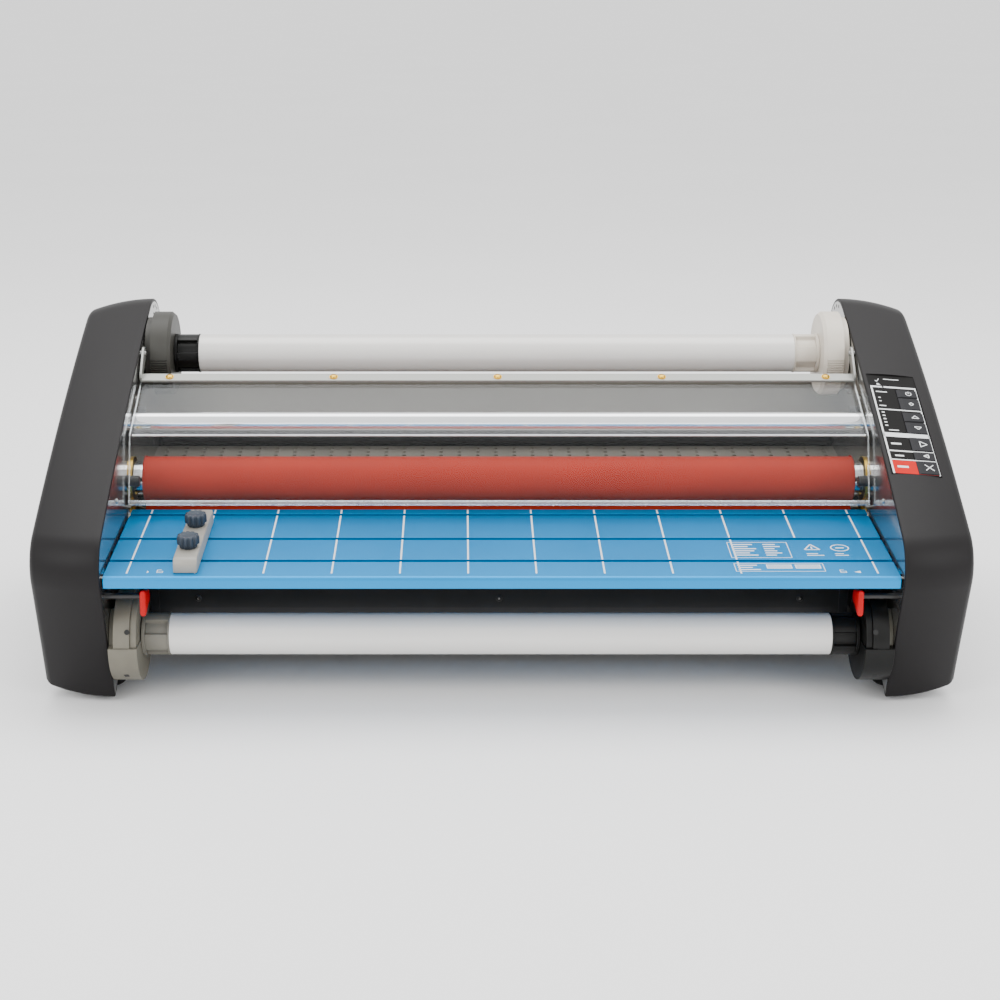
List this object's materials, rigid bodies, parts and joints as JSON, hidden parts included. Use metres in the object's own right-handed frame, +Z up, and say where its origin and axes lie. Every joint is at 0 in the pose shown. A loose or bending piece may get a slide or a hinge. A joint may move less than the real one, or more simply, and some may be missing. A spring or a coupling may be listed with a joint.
{
  "type": "roll laminator",
  "caption": "Wide desktop roll laminator: charcoal end covers, sliding blue feed table with edge guide, red rubber rollers, film supply rolls, lifting clear shield and control panel.",
  "frame": {"origin": "on the floor below the middle of the machine's overall box", "axes": "+X along the rollers towards the control panel, +Y to the back, +Z up"},
  "size_m": [0.882, 0.4699, 0.3349],
  "materials": {
    "cover": "satin moulded charcoal plastic",
    "panel": "glossy grey",
    "tray": "satin dark grey",
    "front_panel": "satin black",
    "plate": "warm grey, perforated",
    "back_panel": "warm grey",
    "rear_cover": "satin charcoal",
    "bearing": "sintered bronze",
    "heater": "satin steel sheath",
    "motor": "satin grey",
    "board": "green board",
    "fan": "black moulded",
    "inlet": "black moulded",
    "foot": "black rubber",
    "holder_dark": "dark warm grey moulded",
    "holder_cream": "cream moulded",
    "holder_grey": "grey-beige moulded",
    "holder_black": "black moulded",
    "core_end_grey": "warm grey moulded",
    "post": "black moulded",
    "overlay": "satin printed film",
    "belt": "black",
    "shaft": "polished",
    "roller_rubber": "brick-red silicone rubber",
    "gear": "natural acetal",
    "pinion": "machined",
    "pulley": "machined",
    "pull_roller": "black rubber",
    "idler": "polished",
    "core": "white satin tube",
    "pane": "clear acrylic",
    "bar": "satin anodised",
    "rivet": "polished",
    "table": "satin blue with white printed grid",
    "guide": "light warm grey moulded",
    "knob": "slate grey moulded",
    "latch": "red moulded",
    "button": "dark translucent"
  },
  "bodies": {
    "machine": {"left_cover": "cover", "right_cover": "cover", "left_side_panel": "panel", "right_side_panel": "panel", "base_tray": "tray", "front_panel": "front_panel", "cooling_plate": "plate", "back_panel": "back_panel", "rear_cover": "rear_cover", "roller_bearings": "bearing", "heater_rods": "heater", "gear_motor": "motor", "circuit_board": "board", "fan_frame": "fan", "power_inlet": "inlet", "feet": "foot", "upper_saddles": "holder_dark", "lower_saddles": "holder_grey", "wall_posts": "post", "control_overlay": "overlay", "drive_belt": "belt"},
    "fan": {"fan_rotor": "fan"},
    "upper_nip_roller": {"upper_nip_shaft": "shaft", "upper_nip_rubber": "roller_rubber", "upper_nip_gear": "gear"},
    "lower_nip_roller": {"lower_nip_shaft": "shaft", "lower_nip_rubber": "roller_rubber", "lower_nip_gear": "gear", "nip_pulley": "pulley"},
    "pinion": {"motor_pinion": "pinion"},
    "upper_pull": {"upper_pull_roller": "pull_roller"},
    "lower_pull": {"lower_pull_roller": "pull_roller", "pull_pulley": "pulley"},
    "idler": {"idler_bar": "idler"},
    "upper_supply": {"upper_core_tube": "core", "upper_left_core_end": "holder_black", "upper_right_core_end": "holder_cream"},
    "lower_supply": {"lower_core_tube": "core", "lower_left_core_end": "core_end_grey", "lower_right_core_end": "holder_black"},
    "retainer_upper_left": {"upper_left_retainer": "holder_dark"},
    "retainer_upper_right": {"upper_right_retainer": "holder_cream"},
    "retainer_lower_left": {"lower_left_retainer": "holder_grey"},
    "retainer_lower_right": {"lower_right_retainer": "holder_black"},
    "shield": {"shield_pane": "pane", "shield_bar": "bar", "shield_rivets": "rivet"},
    "table": {"feed_table": "table"},
    "guide": {"edge_guide": "guide"},
    "knob_front": {"front_knob": "knob"},
    "knob_rear": {"rear_knob": "knob"},
    "latch_left": {"left_latch": "latch"},
    "latch_right": {"right_latch": "latch"},
    "power": {"power_button": "button"},
    "mode": {"mode_button": "button"},
    "speed_up": {"speed_up_button": "button"},
    "speed_down": {"speed_down_button": "button"},
    "run": {"run_button": "button"},
    "reverse": {"reverse_button": "button"},
    "stop": {"stop_button": "button"}
  },
  "joints": [
    {"name": "lower_nip_spin", "type": "hinge", "parent": "machine", "child": "lower_nip_roller", "pos_m": [0, -0.03347, 0.1346], "axis": [1, 0, 0], "continuous": true},
    {"name": "upper_nip_spin", "type": "hinge", "parent": "machine", "child": "upper_nip_roller", "pos_m": [0, -0.03773, 0.1818], "axis": [1, 0, 0], "continuous": true},
    {"name": "pinion_spin", "type": "hinge", "parent": "machine", "child": "pinion", "pos_m": [0, -0.0157, 0.10381], "axis": [1, 0, 0], "continuous": true},
    {"name": "lower_pull_spin", "type": "hinge", "parent": "machine", "child": "lower_pull", "pos_m": [0, 0.13646, 0.15744], "axis": [1, 0, 0], "continuous": true},
    {"name": "upper_pull_spin", "type": "hinge", "parent": "machine", "child": "upper_pull", "pos_m": [0, 0.13355, 0.18971], "axis": [1, 0, 0], "continuous": true},
    {"name": "idler_spin", "type": "hinge", "parent": "machine", "child": "idler", "pos_m": [0, -0.019, 0.2372], "axis": [1, 0, 0], "continuous": true},
    {"name": "upper_supply_spin", "type": "hinge", "parent": "machine", "child": "upper_supply", "pos_m": [0, 0.0979, 0.2833], "axis": [1, 0, 0], "continuous": true},
    {"name": "lower_supply_spin", "type": "hinge", "parent": "machine", "child": "lower_supply", "pos_m": [0, -0.1751, 0.0649], "axis": [1, 0, 0], "continuous": true},
    {"name": "fan_spin", "type": "hinge", "parent": "machine", "child": "fan", "pos_m": [0, 0.05892, 0.15668], "axis": [0, -0.0898, 0.996], "continuous": true},
    {"name": "upper_left_retainer_turn", "type": "hinge", "parent": "machine", "child": "retainer_upper_left", "pos_m": [-0.358, 0.0979, 0.2833], "axis": [1, 0, 0], "range_deg": [0, 90]},
    {"name": "upper_right_retainer_turn", "type": "hinge", "parent": "machine", "child": "retainer_upper_right", "pos_m": [0.358, 0.0979, 0.2833], "axis": [1, 0, 0], "range_deg": [0, 90]},
    {"name": "lower_left_retainer_turn", "type": "hinge", "parent": "machine", "child": "retainer_lower_left", "pos_m": [-0.358, -0.1751, 0.0649], "axis": [1, 0, 0], "range_deg": [0, 90]},
    {"name": "lower_right_retainer_turn", "type": "hinge", "parent": "machine", "child": "retainer_lower_right", "pos_m": [0.358, -0.1751, 0.0649], "axis": [1, 0, 0], "range_deg": [0, 90]},
    {"name": "shield_lift", "type": "hinge", "parent": "machine", "child": "shield", "pos_m": [0, 0.0455, 0.294], "axis": [-1, 0, 0], "range_deg": [0, 95]},
    {"name": "table_slide", "type": "slide", "parent": "machine", "child": "table", "axis": [0, -0.996, -0.0898], "range_m": [0, 0.12]},
    {"name": "guide_slide", "type": "slide", "parent": "table", "child": "guide", "axis": [1, 0, 0], "range_m": [-0.05, 0.62]},
    {"name": "front_knob_turn", "type": "hinge", "parent": "guide", "child": "knob_front", "pos_m": [-0.295, -0.19157, 0.15418], "axis": [0, -0.0898, 0.996], "range_deg": [-180, 180]},
    {"name": "rear_knob_turn", "type": "hinge", "parent": "guide", "child": "knob_rear", "pos_m": [-0.295, -0.13828, 0.15899], "axis": [0, -0.0898, 0.996], "range_deg": [-180, 180]},
    {"name": "left_latch_turn", "type": "hinge", "parent": "machine", "child": "latch_left", "pos_m": [-0.337, -0.211, 0.116], "axis": [1, 0, 0], "range_deg": [0, 35]},
    {"name": "right_latch_turn", "type": "hinge", "parent": "machine", "child": "latch_right", "pos_m": [0.337, -0.211, 0.116], "axis": [1, 0, 0], "range_deg": [0, 35]},
    {"name": "power_press", "type": "slide", "parent": "machine", "child": "power", "axis": [-0.0899, 0.4234, -0.9015], "range_m": [0, 0.0012], "stiffness_N_per_m": 400},
    {"name": "mode_press", "type": "slide", "parent": "machine", "child": "mode", "axis": [-0.0899, 0.4234, -0.9015], "range_m": [0, 0.0012], "stiffness_N_per_m": 400},
    {"name": "speed_up_press", "type": "slide", "parent": "machine", "child": "speed_up", "axis": [-0.0899, 0.4234, -0.9015], "range_m": [0, 0.0012], "stiffness_N_per_m": 400},
    {"name": "speed_down_press", "type": "slide", "parent": "machine", "child": "speed_down", "axis": [-0.0899, 0.4234, -0.9015], "range_m": [0, 0.0012], "stiffness_N_per_m": 400},
    {"name": "run_press", "type": "slide", "parent": "machine", "child": "run", "axis": [-0.0899, 0.4234, -0.9015], "range_m": [0, 0.0012], "stiffness_N_per_m": 400},
    {"name": "reverse_press", "type": "slide", "parent": "machine", "child": "reverse", "axis": [-0.0899, 0.4234, -0.9015], "range_m": [0, 0.0012], "stiffness_N_per_m": 400},
    {"name": "stop_press", "type": "slide", "parent": "machine", "child": "stop", "axis": [-0.0899, 0.4234, -0.9015], "range_m": [0, 0.0012], "stiffness_N_per_m": 400}
  ],
  "couplings": [
    {"joint": "upper_nip_spin", "follows": "lower_nip_spin", "ratio": -1},
    {"joint": "pinion_spin", "follows": "lower_nip_spin", "ratio": -2},
    {"joint": "lower_pull_spin", "follows": "lower_nip_spin", "ratio": 1.4667},
    {"joint": "upper_pull_spin", "follows": "lower_nip_spin", "ratio": -1.4667}
  ]
}
